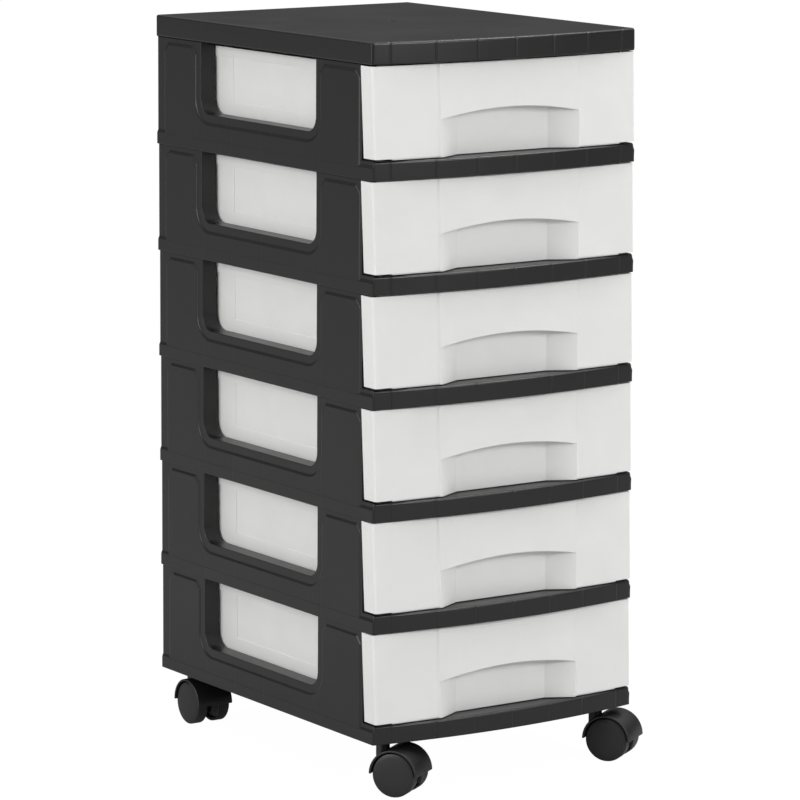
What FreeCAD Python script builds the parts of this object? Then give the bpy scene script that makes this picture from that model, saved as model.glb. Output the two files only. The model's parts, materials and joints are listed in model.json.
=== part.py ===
import FreeCAD
import Part
import Sketcher

import math
import os
import re

# Drawer tower on four twin-wheel casters, in millimetres.
#
# Every tier is one stacking frame: a ribbed shelf with a bowed front rail and two hollow side
# walls with open-topped windows. Pegs on the posts of one frame stand in the hollow walls of
# the next, and the top plate closes the stack. A clear drawer slides on each shelf.
#
# Frames and drawers are drawn about the middle of the tower's width, with Y measured back from
# the front corners and Z up from the foot of their own tier. Casters are drawn about their stem,
# up from the floor. The tower itself stands on the floor, centred on its own bounding box.

# The driving sizes. Each one is a cell of the sheet, under the same name.
SIZES = {
    # Tower
    "tower_width": 281,
    "tower_depth": 367,
    "tier_count": 6,
    "tier_pitch": 100,
    "side_draft": 0.8,
    "skin": 2.5,
    "overrun": 5,
    "cut_margin": 0.05,
    # Shelf and front rail
    "rail_height": 17,
    "front_bow": 14,
    "rail_bevel": 1.5,
    "floor_skin": 2,
    "plate_height": 20,
    "gate_radius": 4,
    "gate_sides": 16,
    "gate_depth": 0.4,
    # Side walls
    "wall_depth": 17,
    "sill_height": 34.5,
    "window_front": 93,
    "rear_post": 78,
    "window_radius": 14,
    "back_window_inset": 45.5,
    "post_front": 19,
    # Raised panel on each side wall
    "band_height": 11,
    "band_step": 0.3,
    "panel_front": 23,
    "panel_rear_gap": 15,
    "panel_top_gap": 7,
    "panel_corner": 6,
    "panel_border": 10,
    "panel_relief": 0.9,
    "panel_slope": 60,
    # Ribs, runners and pegs
    "rib_skin": 1.5,
    "rib_count": 5,
    "rib_spacing": 40,
    "rib_lift": 3,
    "cross_rib_count": 3,
    "cross_rib_spacing": 100,
    "runner_width": 3,
    "runner_height": 0.5,
    "runner_inset": 40,
    "peg_height": 8,
    "peg_length": 30,
    "peg_clearance": 0.5,
    "peg_slope": 4,
    # Drawer
    "drawer_skin": 2,
    "drawer_lift": 0.2,
    "bay_clearance": 1,
    "front_line": 0.75,
    "drawer_bow": 7,
    "front_lean": 3,
    "front_foot_gap": 1.75,
    "front_head_gap": 1,
    "front_end_gap": 0.5,
    "front_end_radius": 2.5,
    "front_foot_inset": 1,
    "post_gap": 0.5,
    "box_rear_gap": 22,
    "box_corner": 10,
    "rim_height": 9,
    "rim_step": 1,
    "rim_gap": 4,
    "badge_front": 60,
    "badge_rear_gap": 85,
    "badge_foot": 46,
    "badge_depth": 0.6,
    # Grip of the drawer
    "grip_half": 73.3,
    "grip_lip": 0.7,
    "grip_bulge": 1.5,
    "grip_flank": 1.8,
    "grip_end_height": 50.8,
    "grip_crown_height": 58.5,
    "recess_half": 48.5,
    "recess_depth": 5,
    # Casters
    "caster_height": 49,
    "caster_trail": 17,
    "caster_side_inset": 24,
    "caster_front_inset": 20,
    "caster_rear_inset": 19,
    "front_yaw": 33,
    "rear_yaw": 0,
    "stem_radius": 4,
    "stem_sides": 16,
    "stem_reach": 13,
    "stem_depth": 24,
    "socket_skin": 3.5,
    "running_gap": 0.05,
    "swivel_gap": 0.5,
    "stem_tip_gap": 1,
    "wheel_radius": 20,
    "wheel_sides": 32,
    "wheel_width": 11.5,
    "wheel_span": 36,
    "hood_gap": 1,
    "hood_skin": 2,
    "hood_overlap": 0.5,
    "hood_facets": 12,
    "web_thickness": 7,
    "web_inset": 0.6,
    "web_drop": 8,
    "neck_radius": 6,
    "neck_sides": 12,
    "axle_radius": 2.5,
    "axle_sides": 8,
    "axle_length": 30,
    "axle_end_gap": 0.5,
    # How near an edge must be to the height at which it is looked for.
    "pick_slack": 0.01,
}

# Lengths that follow from the driving sizes.
RULES = {
    "half_width": "tower_width / 2",
    "bow_radius": "(half_width^2 + front_bow^2) / (2 * front_bow)",
    "bow_centre": "bow_radius - front_bow",
    "side_angle": "atan(side_draft / tier_pitch)",
    "bay_half": "half_width - wall_depth",
    "cavity_half": "half_width - skin",
    "floor_under": "rail_height - floor_skin",
    "window_rear": "tower_depth - rear_post",
    "front_half": "half_width - front_end_gap",
    "front_radius": "(front_half^2 + drawer_bow^2) / (2 * drawer_bow)",
    "front_centre": "front_line - drawer_bow + front_radius",
    "front_foot": "rail_height + front_foot_gap",
    "front_head": "tier_pitch - front_head_gap",
    "front_end": "post_front - post_gap",
    "box_foot": "rail_height + runner_height + drawer_lift",
    "box_floor": "box_foot + drawer_skin",
    "box_head": "tier_pitch - rim_gap",
    "box_rear": "tower_depth - box_rear_gap",
    "rim_half": "bay_half - bay_clearance",
    "box_half": "rim_half - rim_step",
    "badge_rear": "box_rear - badge_rear_gap",
    "proud_half": "grip_half + grip_lip",
    "arch_rise": "grip_crown_height - grip_end_height",
    "arch_radius": "(grip_half^2 + arch_rise^2) / (2 * arch_rise)",
    "socket_radius": "stem_radius + running_gap",
    "neck_head": "caster_height - swivel_gap",
    "hood_inner": "wheel_radius + hood_gap",
    "hood_outer": "hood_inner + hood_skin",
    "caster_side": "half_width - caster_side_inset",
    "caster_rear": "tower_depth - caster_rear_inset",
    "peg_outer": "cavity_half - peg_clearance",
    "peg_inner": "bay_half + skin + peg_clearance",
    # The front right caster's outer wheel and the front left one's hood end the bounding box.
    "hood_reach": "(wheel_span / 2 + hood_overlap)",
    "hood_sweep": "(caster_trail + hood_outer)",
    "side_reach": "caster_side + hood_sweep * sin(front_yaw) + hood_reach * cos(front_yaw)",
    "front_reach": "hood_sweep * cos(front_yaw) + hood_reach * sin(front_yaw) - caster_front_inset",
    "centre_x": "(side_reach - half_width) / 2",
    "centre_y": "(tower_depth - front_reach) / 2",
}

LEFT_TURN = 1
RIGHT_TURN = -1

doc = FreeCAD.newDocument("drawer_tower")
sheet = doc.addObject("Spreadsheet::Sheet", "Sizes")
for row, (name, size) in enumerate(SIZES.items(), start=1):
    sheet.set(f"A{row}", name)
    sheet.set(f"B{row}", str(size))
    sheet.setAlias(f"B{row}", name)
doc.recompute()


def tie(text):
    """Spells a size out in the sheet's own cells, for an expression."""

    def spell(word):
        if word[0] in RULES:
            return "(" + tie(RULES[word[0]]) + ")"
        return "Sizes." + word[0] if word[0] in SIZES else word[0]

    return re.sub(r"[a-z][a-z_]*", spell, str(text))


def value(text):
    """The present number of a size or of a sum of sizes."""
    number = sheet.evalExpression(tie(text))
    return float(getattr(number, "Value", number))


def bind(thing, prop, text):
    """Ties a property to the sizes."""
    thing.setExpression(prop, tie(text))


def origin_part(body, role):
    """A plane or an axis of the body's own origin."""
    return [part for part in body.Origin.OriginFeatures if part.Role == role][0]


def arc_between(start, end, radius, turn):
    """The shorter arc from start to end, as a sketch keeps it, anticlockwise."""
    middle = (start + end) / 2
    along = (end - start).normalize()
    rise = math.sqrt(max(radius**2 - (end - start).Length ** 2 / 4, 0))
    centre = middle + FreeCAD.Vector(-along.y, along.x, 0) * rise * turn
    first, last = (start, end) if turn == LEFT_TURN else (end, start)
    angles = [math.atan2(point.y - centre.y, point.x - centre.x) for point in (first, last)]
    circle = Part.Circle(centre, FreeCAD.Vector(0, 0, 1), radius)
    return Part.ArcOfCircle(circle, *angles)


def draw_outline(sketch, corners):
    """Draws a closed outline. A corner is (x, y), or (x, y, radius, turn) where an arc leaves it."""
    points = [FreeCAD.Vector(value(corner[0]), value(corner[1]), 0) for corner in corners]
    edges = []
    for place, corner in enumerate(corners):
        start, end = points[place], points[(place + 1) % len(points)]
        if len(corner) == 2:
            edge = sketch.addGeometry(Part.LineSegment(start, end))
            edges.append((edge, 1, 2))
            continue
        radius, turn = corner[2], corner[3]
        edge = sketch.addGeometry(arc_between(start, end, value(radius), turn))
        edges.append((edge, 1, 2) if turn == LEFT_TURN else (edge, 2, 1))
        held = sketch.addConstraint(Sketcher.Constraint("Radius", edge, value(radius)))
        bind(sketch, f"Constraints[{held}]", radius)
    for place, (edge, head, tail) in enumerate(edges):
        following, start, _ = edges[(place + 1) % len(edges)]
        sketch.addConstraint(Sketcher.Constraint("Coincident", edge, tail, following, start))
        for kind, text, number in zip(("DistanceX", "DistanceY"), corners[place], points[place]):
            held = sketch.addConstraint(Sketcher.Constraint(kind, -1, 1, edge, head, number))
            if text != 0:
                bind(sketch, f"Constraints[{held}]", text)


def new_sketch(body, name, plane, outlines, lift=None, lean=None):
    """A sketch on one of the body's planes, lifted along its normal and leant about its X axis."""
    sketch = body.newObject("Sketcher::SketchObject", name)
    sketch.AttachmentSupport = [(origin_part(body, plane + "_Plane"), "")]
    sketch.MapMode = "FlatFace"
    if lean:
        sketch.AttachmentOffset = FreeCAD.Placement(
            FreeCAD.Vector(), FreeCAD.Rotation(FreeCAD.Vector(1, 0, 0), 1)
        )
        bind(sketch, "AttachmentOffset.Rotation.Angle", lean)
    if lift:
        bind(sketch, "AttachmentOffset.Base.z", lift)
    for outline in outlines:
        draw_outline(sketch, outline)
    if sketch.solve() != 0:
        raise RuntimeError(f"{body.Name} {name} has no solution")
    return sketch


def extrude(body, kind, sketch, length, flip=False, both_ways=False, taper=None):
    """A pad or a pocket of a sketch. A pocket goes against the sketch's normal unless flipped."""
    feature = body.newObject("PartDesign::" + kind, f"{kind}_{sketch.Name}")
    feature.Profile = sketch
    feature.Reversed = flip
    feature.Midplane = both_ways
    bind(feature, "Length", length)
    if taper:
        bind(feature, "TaperAngle", taper)
    sketch.Visibility = False
    return feature


def loft(body, kind, sections):
    """A ruled solid, added or cut, from one sketch to the next."""
    feature = body.newObject("PartDesign::" + kind, f"{kind}_{sections[0].Name}")
    feature.Profile = sections[0]
    feature.Sections = sections[1:]
    feature.Ruled = True
    return feature


def mirror(body, features, plane="YZ"):
    """Repeats features on the other side of one of the body's planes."""
    feature = body.newObject("PartDesign::Mirrored", "Mirrored_" + features[0].Name)
    feature.Originals = features
    feature.MirrorPlane = (origin_part(body, plane + "_Plane"), [""])
    body.Tip = feature
    return feature


def new_body(name):
    """A body that is drawn once, and copied where it is used."""
    return doc.addObject("PartDesign::Body", name)


def facet_corners(x, y, radius, facets, sweep):
    """The corners of flat facets about a centre, from the right and anticlockwise over a sweep."""
    corners = []
    for place in range(int(value(facets)) + 1):
        angle = f"({sweep} * {place} / {facets})"
        corners.append((f"({x}) + {radius} * cos{angle}", f"({y}) + {radius} * sin{angle}"))
    return corners


def rod_outline(x, y, radius, sides):
    """A round of flat facets with their corners on the radius."""
    return facet_corners(x, y, radius, sides, 360)[:-1]


def bore_outline(x, y, radius, sides):
    """A round hole of flat facets that stay outside the radius."""
    return rod_outline(x, y, f"({radius}) / cos(180 / {sides})", sides)


def box_outline(left, low, right, high):
    """A rectangle's corners, anticlockwise."""
    return [(left, low), (right, low), (right, high), (left, high)]


def bow_y(radius, x):
    """How far back a curve about the bow's centre lies, at x from the middle."""
    return f"(bow_centre - sqrt(({radius})^2 - ({x})^2))"


def shelf_outline(inset):
    """The tower's plan, drawn in by inset: straight back and sides, bowed front."""
    half, radius = f"(half_width - {inset})", f"(bow_radius - {inset})"
    rear = f"(tower_depth - {inset})"
    front = bow_y(radius, half)
    return [(f"-{half}", front, radius, LEFT_TURN), (half, front), (half, rear), (f"-{half}", rear)]


def drafted_block(body, height):
    """A block of the tower's plan: drafted sides, a straight back and a bowed front."""
    top = f"(half_width - side_draft * {height} / tier_pitch)"
    section = [("-half_width", 0), ("half_width", 0), (top, height), (f"-{top}", height)]
    ahead = "(front_bow + overrun)"
    sketch = new_sketch(body, "Section", "XZ", [section], lift="-tower_depth")
    extrude(body, "Pad", sketch, f"tower_depth + {ahead}")
    wide = "(half_width + overrun)"
    past = bow_y("bow_radius", wide)
    bow = [
        (f"-{wide}", f"-{ahead}"),
        (wide, f"-{ahead}"),
        (wide, past, "bow_radius", RIGHT_TURN),
        (f"-{wide}", past),
    ]
    extrude(body, "Pocket", new_sketch(body, "Bow", "XY", [bow], lift=height), height)


def hollow_underside(body, depth):
    """Cores a moulding from below to depth, and leaves its grid of ribs and its two bearers."""
    recess = new_sketch(body, "Underside", "XY", [shelf_outline("skin")])
    extrude(body, "Pocket", recess, depth, flip=True)
    ribs = []
    for place in range(int(value("rib_count"))):
        across = f"(rib_spacing * ({place} - (rib_count - 1) / 2))"
        front = bow_y("(bow_radius - skin / 2)", across)
        rear = "tower_depth - skin / 2"
        ribs.append(box_outline(f"{across} - rib_skin / 2", front, f"{across} + rib_skin / 2", rear))
    extrude(body, "Pad", new_sketch(body, "Ribs", "XY", ribs, lift="rib_lift"), f"{depth} - rib_lift")
    front, rear = bow_y("(bow_radius - skin / 2)", "bay_half"), "tower_depth - skin / 2"
    bearers = [
        box_outline("-(bay_half + skin)", front, "-bay_half", rear),
        box_outline("bay_half", front, "bay_half + skin", rear),
    ]
    extrude(body, "Pad", new_sketch(body, "Bearers", "XY", bearers), depth)


def cross_ribs(body, depth):
    """Ribs across the underside, evenly spaced about the middle."""
    first = "(tower_depth / 2 - cross_rib_spacing * (cross_rib_count - 1) / 2)"
    cross = box_outline("-bay_half", f"{first} - rib_skin / 2", "bay_half", f"{first} + rib_skin / 2")
    sketch = new_sketch(body, "CrossRib", "XY", [cross], lift="rib_lift")
    rib = extrude(body, "Pad", sketch, f"{depth} - rib_lift")
    pattern = body.newObject("PartDesign::LinearPattern", "CrossRibs")
    pattern.Originals = [rib]
    pattern.Direction = (origin_part(body, "Y_Axis"), [""])
    bind(pattern, "Length", "cross_rib_spacing * (cross_rib_count - 1)")
    bind(pattern, "Occurrences", "cross_rib_count")
    body.Tip = pattern


def bevel_front(body, height):
    """Bevels the bowed top edge at the front, the foremost of the wide edges at that height."""
    doc.recompute()
    solid, last = body.Shape, body.Tip
    level, flat = value(height), value("pick_slack")
    edges = []
    for number, edge in enumerate(solid.Edges, start=1):
        box = edge.BoundBox
        wide = box.XLength > 2 * value("bay_half")
        if wide and abs(box.ZMin - level) < flat and box.ZLength < flat:
            edges.append((box.YMin, number))
    bevel = body.newObject("PartDesign::Chamfer", "RailBevel")
    bevel.Base = (last, [f"Edge{min(edges)[1]}"])
    bind(bevel, "Size", "rail_bevel")


def make_tier_frame():
    """The stacking frame: shelf, rail, hollow side walls with windows, pegs and caster sockets."""
    body = new_body("TierFrame")
    drafted_block(body, "tier_pitch")

    # The drawer's bay, and the whole width ahead of the posts, above the shelf.
    ahead = "-(front_bow + overrun)"
    wide = "(half_width + overrun)"
    bay = [
        (f"-{wide}", ahead),
        (wide, ahead),
        (wide, "post_front"),
        ("bay_half", "post_front"),
        ("bay_half", "tower_depth - skin"),
        ("-bay_half", "tower_depth - skin"),
        ("-bay_half", "post_front"),
        (f"-{wide}", "post_front"),
    ]
    extrude(
        body, "Pocket", new_sketch(body, "Bay", "XY", [bay], lift="tier_pitch"), "tier_pitch - rail_height"
    )

    bevel_front(body, "rail_height")

    # Open-topped windows in the sides and in the back.
    open_top = "(tier_pitch + overrun)"
    side = window_outline("window_front", "window_rear", open_top, ("window_radius", LEFT_TURN))
    extrude(body, "Pocket", new_sketch(body, "SideWindow", "YZ", [side]), "tower_width * 2", both_ways=True)
    back_half = "(half_width - back_window_inset)"
    back = window_outline(f"-{back_half}", back_half, open_top)
    back_sketch = new_sketch(body, "BackWindow", "XZ", [back], lift="-(tower_depth - wall_depth)")
    extrude(body, "Pocket", back_sketch, "wall_depth + overrun")

    # The raised panel that frames each side window stands proud of a lower border.
    side_plane = {"lift": "half_width + cut_margin", "lean": "-side_angle"}
    front, rear = "-(front_bow + overrun)", "(tower_depth + overrun)"
    band = box_outline(front, "band_height", rear, open_top)
    band_sketch = new_sketch(body, "Band", "YZ", [band], **side_plane)
    shallow = extrude(body, "Pocket", band_sketch, "band_step + cut_margin")
    border = new_sketch(body, "Border", "YZ", [border_outline(front, rear, open_top)], **side_plane)
    depth = "band_step + panel_relief + cut_margin"
    deep = extrude(body, "Pocket", border, depth, taper="-panel_slope")
    mirror(body, [shallow, deep])

    # Cored from below: the shelf, then the channels under the windows and the posts.
    hollow_underside(body, "floor_under")
    inner, outer = "(bay_half + skin)", "cavity_half"
    channel = box_outline(inner, "post_front + skin", outer, "tower_depth - skin")
    channel_sketch = new_sketch(body, "Channel", "XY", [channel])
    cores = [extrude(body, "Pocket", channel_sketch, "sill_height - skin", flip=True)]
    posts = {
        "FrontPost": ("post_front + skin", "window_front - skin"),
        "RearPost": ("window_rear + skin", "tower_depth - skin"),
    }
    for name, (near, far) in posts.items():
        core = new_sketch(body, name, "XY", [box_outline(inner, near, outer, far)])
        cores.append(extrude(body, "Pocket", core, "tier_pitch - skin", flip=True, taper="-side_angle"))
    mirror(body, cores)

    # Pegs on the posts, runners on the shelf.
    pegs = []
    for near, far in posts.values():
        first = f"({near} + {far} - peg_length) / 2"
        pegs.append(box_outline("peg_inner", first, "peg_outer", f"{first} + peg_length"))
    peg = new_sketch(body, "Pegs", "XY", pegs, lift="tier_pitch")
    runner_x = "(bay_half - runner_inset)"
    runner = box_outline(f"{runner_x} - runner_width", "post_front", runner_x, "box_rear")
    runner_sketch = new_sketch(body, "Runner", "XY", [runner], lift="rail_height")
    mirror(
        body,
        [
            extrude(body, "Pad", peg, "peg_height", taper="-peg_slope"),
            extrude(body, "Pad", runner_sketch, "runner_height"),
        ],
    )

    return body


def make_base_frame(source):
    """The lowest frame: as the others, with cross ribs, and a socket for each caster's stem."""
    body = new_body("BaseFrame")
    start = body.newObject("PartDesign::FeatureBase", "FrameAbove")
    start.BaseFeature = source
    body.Tip = start
    cross_ribs(body, "floor_under")
    places = [("caster_side", "caster_front_inset"), ("caster_side", "caster_rear")]
    bosses = [rod_outline(x, y, "(socket_radius + socket_skin)", "stem_sides") for x, y in places]
    holes = [bore_outline(x, y, "socket_radius", "stem_sides") for x, y in places]
    boss_sketch = new_sketch(body, "Sockets", "XY", bosses)
    hole_sketch = new_sketch(body, "SocketHoles", "XY", holes)
    sockets = extrude(body, "Pad", boss_sketch, "floor_under")
    mirror(body, [sockets, extrude(body, "Pocket", hole_sketch, "floor_under", flip=True)])
    return body


def window_outline(left, right, top, turn=()):
    """A window that is open at the top, its lower corners rounded by a turn, or cut straight."""
    return [
        (f"{left} + window_radius", "sill_height"),
        (f"{right} - window_radius", "sill_height", *turn),
        (right, "sill_height + window_radius"),
        (right, top),
        (left, top),
        (left, "sill_height + window_radius", *turn),
    ]


def border_outline(front, rear, top):
    """All of a side wall but its raised panel, which rises beside the window and runs under it."""
    head = "(tier_pitch - panel_top_gap)"
    foot = "(sill_height - panel_border)"
    inner_radius = "(window_radius + panel_border)"
    outer_front, outer_rear = "panel_front", "(tower_depth - panel_rear_gap)"
    inner_front, inner_rear = "(window_front - panel_border)", "(window_rear + panel_border)"
    return [
        (outer_front, "band_height"),
        (outer_front, f"{head} - panel_corner"),
        (f"{outer_front} + panel_corner", head),
        (f"{inner_front} - panel_corner", head),
        (inner_front, f"{head} - panel_corner"),
        (inner_front, f"{foot} + {inner_radius}", inner_radius, LEFT_TURN),
        (f"{inner_front} + {inner_radius}", foot),
        (f"{inner_rear} - {inner_radius}", foot, inner_radius, LEFT_TURN),
        (inner_rear, f"{foot} + {inner_radius}"),
        (inner_rear, f"{head} - panel_corner"),
        (f"{inner_rear} + panel_corner", head),
        (f"{outer_rear} - panel_corner", head),
        (outer_rear, f"{head} - panel_corner"),
        (outer_rear, "band_height"),
        (rear, "band_height"),
        (rear, top),
        (front, top),
        (front, "band_height"),
    ]


def make_top_plate():
    """The lid: the same plan and ribs as a frame, with a gate mark in the middle."""
    body = new_body("TopPlate")
    drafted_block(body, "plate_height")
    bevel_front(body, "plate_height")
    hollow_underside(body, "(plate_height - skin)")
    mark = rod_outline(0, "tower_depth / 2", "gate_radius", "gate_sides")
    extrude(body, "Pocket", new_sketch(body, "Gate", "XY", [mark], lift="plate_height"), "gate_depth")
    return body


def down_share(level):
    """How much of the way down from a drawer front's head to its foot a level lies."""
    return f"((front_head - ({level})) / (front_head - front_foot))"


def face_y(inset, x, level):
    """How far back a curve that runs inset behind a drawer's face lies, at x and at a level."""
    centre = f"(front_centre - front_lean * {down_share(level)})"
    return f"({centre} - sqrt((front_radius - ({inset}))^2 - ({x})^2))"


def corner_points(level):
    """A drawer front's half width, and where the rounding of its end meets its side and face."""
    half = f"(front_half - front_foot_inset * {down_share(level)})"
    centre = f"(front_centre - front_lean * {down_share(level)})"
    reach = f"({half} - front_end_radius)"
    drop = f"sqrt((front_radius - front_end_radius)^2 - {reach}^2)"
    share = "(front_radius / (front_radius - front_end_radius))"
    return half, f"({centre} - {drop})", f"({reach} * {share})", f"({centre} - {drop} * {share})"


def front_plan(level):
    """A drawer front's plan: bowed, with ends rounded back towards the posts."""
    half, side_y, x, y = corner_points(level)
    end = f"(front_end - front_lean * {down_share(level)})"
    return [
        (f"-{half}", end),
        (f"-{half}", side_y, "front_end_radius", LEFT_TURN),
        (f"-{x}", y, "front_radius", LEFT_TURN),
        (x, y, "front_end_radius", LEFT_TURN),
        (half, side_y),
        (half, end),
    ]


def wing_plan(level):
    """The hollow behind one end of a drawer front, beside the drawer's own wall."""
    half, side_y, x, y = corner_points(level)
    inner = f"({half} - drawer_skin)"
    share = "((front_radius - drawer_skin) / front_radius)"
    centre = f"(front_centre - front_lean * {down_share(level)})"
    near_y = f"{centre} - ({centre} - {y}) * {share}"
    behind = "(front_end + overrun)"
    return [
        ("box_half", face_y("drawer_skin", "box_half", level), "front_radius - drawer_skin", LEFT_TURN),
        (f"{x} * {share}", near_y, "front_end_radius - drawer_skin", LEFT_TURN),
        (inner, side_y),
        (inner, behind),
        ("box_half", behind),
    ]


def box_plan(half, inset, rear, level):
    """The plan of the drawer's box, whose front runs inset behind the face."""
    front = face_y(inset, half, level)
    return [
        (f"-{half}", front, f"front_radius - {inset}", LEFT_TURN),
        (half, front),
        (half, f"{rear} - box_corner"),
        (f"{half} - box_corner", rear),
        (f"-({half} - box_corner)", rear),
        (f"-{half}", f"{rear} - box_corner"),
    ]


def bulge_plan(half, proud, behind, level):
    """The plan of the raised grip panel: its face, steep flanks and a curve that far behind."""
    far = f"({half} + ({proud} + {behind}) * grip_flank / grip_bulge)"
    back, front = face_y(behind, far, level), face_y(f"-({proud})", half, level)
    return [
        (f"-{far}", back),
        (f"-{half}", front, f"front_radius + {proud}", LEFT_TURN),
        (half, front),
        (far, back, f"front_radius - {behind}", RIGHT_TURN),
    ]


def shell_plan(level):
    """The plan of the walls round the grip's recess, from the middle of the front's wall back."""
    proud, behind = "(grip_bulge - drawer_skin / 2)", "drawer_skin / 2"
    *front, last = bulge_plan("proud_half", proud, behind, level)
    half, deep = "(recess_half + drawer_skin / 2)", "(recess_depth + drawer_skin)"
    return [*front, last[:2], (half, deep), (f"-{half}", deep)]


def recess_plan(level):
    """The plan of the grip's recess, widening from its back to its mouth and on past the face."""
    ahead = "-(front_bow + overrun)"
    mouth = face_y("-grip_bulge", "grip_half", level)
    flare = f"((grip_half - recess_half) / (recess_depth - {mouth}))"
    reach = f"(recess_half + (recess_depth - {ahead}) * {flare})"
    return [
        (f"-{reach}", ahead),
        (reach, ahead),
        ("recess_half", "recess_depth"),
        ("-recess_half", "recess_depth"),
    ]


def leaning_loft(body, kind, name, plan, foot, head):
    """A ruled solid from a plan at its foot to the same plan at its head, leaning as the front."""
    sections = [
        new_sketch(body, name + "Foot", "XY", [plan(foot)], lift=foot),
        new_sketch(body, name + "Head", "XY", [plan(head)], lift=head),
    ]
    return loft(body, kind, sections)


def make_grip(name, plan, foot, radius):
    """A leaning block of the given plan, from foot up to an arch of the given radius."""
    body = new_body(name)
    leaning_loft(body, "AdditiveLoft", name, plan, foot, "front_head")
    reach = "(grip_half + wall_depth * 2)"
    end = f"(grip_crown_height - arch_radius + sqrt({radius}^2 - {reach}^2))"
    top = "(tier_pitch + overrun)"
    above = [(f"-{reach}", end, radius, RIGHT_TURN), (reach, end), (reach, top), (f"-{reach}", top)]
    cut = new_sketch(body, name + "Arch", "XZ", [above])
    extrude(body, "Pocket", cut, "tower_width * 2", both_ways=True)
    return body


def make_drawer():
    """The drawer: a thin-walled box with a rim, a bowed front that laps the posts, and its grip."""
    body = new_body("Drawer")

    def walls(level):
        return box_plan("box_half", "drawer_skin / 2", "box_rear", level)

    def rim(level):
        return box_plan("rim_half", "drawer_skin / 2", "(box_rear + rim_step)", level)

    def inside(level):
        return box_plan("(box_half - drawer_skin)", "drawer_skin", "(box_rear - drawer_skin)", level)

    def bulge(level):
        return bulge_plan("proud_half", "grip_bulge", "drawer_skin / 2", level)

    def bulge_back(level):
        half = "(proud_half - drawer_skin / 2)"
        return bulge_plan(half, "(grip_bulge - drawer_skin)", "drawer_skin * 2", level)

    rim_foot = "box_head - rim_height"
    leaning_loft(body, "AdditiveLoft", "Box", walls, "box_foot", "box_head")
    leaning_loft(body, "AdditiveLoft", "Rim", rim, rim_foot, "box_head")
    leaning_loft(body, "AdditiveLoft", "Front", front_plan, "front_foot", "front_head")
    leaning_loft(body, "AdditiveLoft", "Bulge", bulge, "front_foot", "front_head")
    leaning_loft(body, "SubtractiveLoft", "Inside", inside, "box_floor", "front_head")
    wing = leaning_loft(body, "SubtractiveLoft", "Wing", wing_plan, "front_foot", "front_head")
    mirror(body, [wing])
    arch_foot = "grip_end_height - drawer_skin"
    leaning_loft(body, "SubtractiveLoft", "BulgeBack", bulge_back, arch_foot, "front_head")

    badge = box_outline("badge_front", "badge_foot", "badge_rear", rim_foot)
    badge_sketch = new_sketch(body, "SidePanel", "YZ", [badge], lift="box_half")
    mirror(body, [extrude(body, "Pocket", badge_sketch, "badge_depth")])

    # The grip: walls and ceiling round the recess, then the recess itself.
    joined = doc.addObject("Part::Fuse", "DrawerWithGrip")
    joined.Base = body
    joined.Tool = make_grip("GripShell", shell_plan, "box_foot", "(arch_radius + drawer_skin)")
    opened = doc.addObject("Part::Cut", "DrawerWithRecess")
    opened.Base = joined
    opened.Tool = make_grip("GripRecess", recess_plan, "box_foot - overrun", "arch_radius")
    opened.Refine = True
    return opened


def make_hood():
    """A caster's hood: a half-round fender over both wheels, a web between them and the neck."""
    body = new_body("Hood")
    hub = ("-caster_trail", "wheel_radius")
    lining = "(hood_inner / cos(90 / hood_facets))"
    inner = facet_corners(*hub, lining, "hood_facets", 180)
    fender = facet_corners(*hub, "hood_outer", "hood_facets", 180) + inner[::-1]
    fender_sketch = new_sketch(body, "Fender", "YZ", [fender])
    extrude(body, "Pad", fender_sketch, "wheel_span + 2 * hood_overlap", both_ways=True)
    edge, drop = "(hood_outer - web_inset)", "wheel_radius - web_drop"
    web = facet_corners(*hub, edge, "hood_facets", 180)
    web += [(f"-caster_trail - {edge}", drop), (f"-caster_trail + {edge}", drop)]
    extrude(body, "Pad", new_sketch(body, "Web", "YZ", [web]), "web_thickness", both_ways=True)
    foot = "(stem_depth - skin)"
    neck = new_sketch(body, "Neck", "XY", [rod_outline(0, 0, "neck_radius", "neck_sides")], lift=foot)
    extrude(body, "Pad", neck, f"neck_head - {foot}")
    bore = bore_outline(0, 0, "socket_radius", "stem_sides")
    bore_sketch = new_sketch(body, "StemBore", "XY", [bore], lift="neck_head")
    extrude(body, "Pocket", bore_sketch, "neck_head - stem_depth")
    axle = new_sketch(body, "Axle", "YZ", [rod_outline(*hub, "axle_radius", "axle_sides")])
    extrude(body, "Pad", axle, "axle_length", both_ways=True)
    return body


def make_stem():
    """A caster's steel stem."""
    body = new_body("Stem")
    tip = "stem_depth + stem_tip_gap"
    sketch = new_sketch(body, "Rod", "XY", [rod_outline(0, 0, "stem_radius", "stem_sides")], lift=tip)
    extrude(body, "Pad", sketch, f"caster_height + stem_reach - ({tip})")
    return body


def make_wheel():
    """The right-hand wheel of a pair, about the middle of the axle, with a blind bore."""
    body = new_body("Wheel")
    back = "(wheel_span / 2 - wheel_width)"
    tread = rod_outline(0, 0, "wheel_radius", "wheel_sides")
    extrude(body, "Pad", new_sketch(body, "Tread", "YZ", [tread], lift=back), "wheel_width")
    bore = bore_outline(0, 0, "axle_radius + running_gap", "axle_sides")
    bore_sketch = new_sketch(body, "Bore", "YZ", [bore], lift=back)
    extrude(body, "Pocket", bore_sketch, f"axle_length / 2 + axle_end_gap - {back}", flip=True)
    return body


nodes = []


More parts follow.
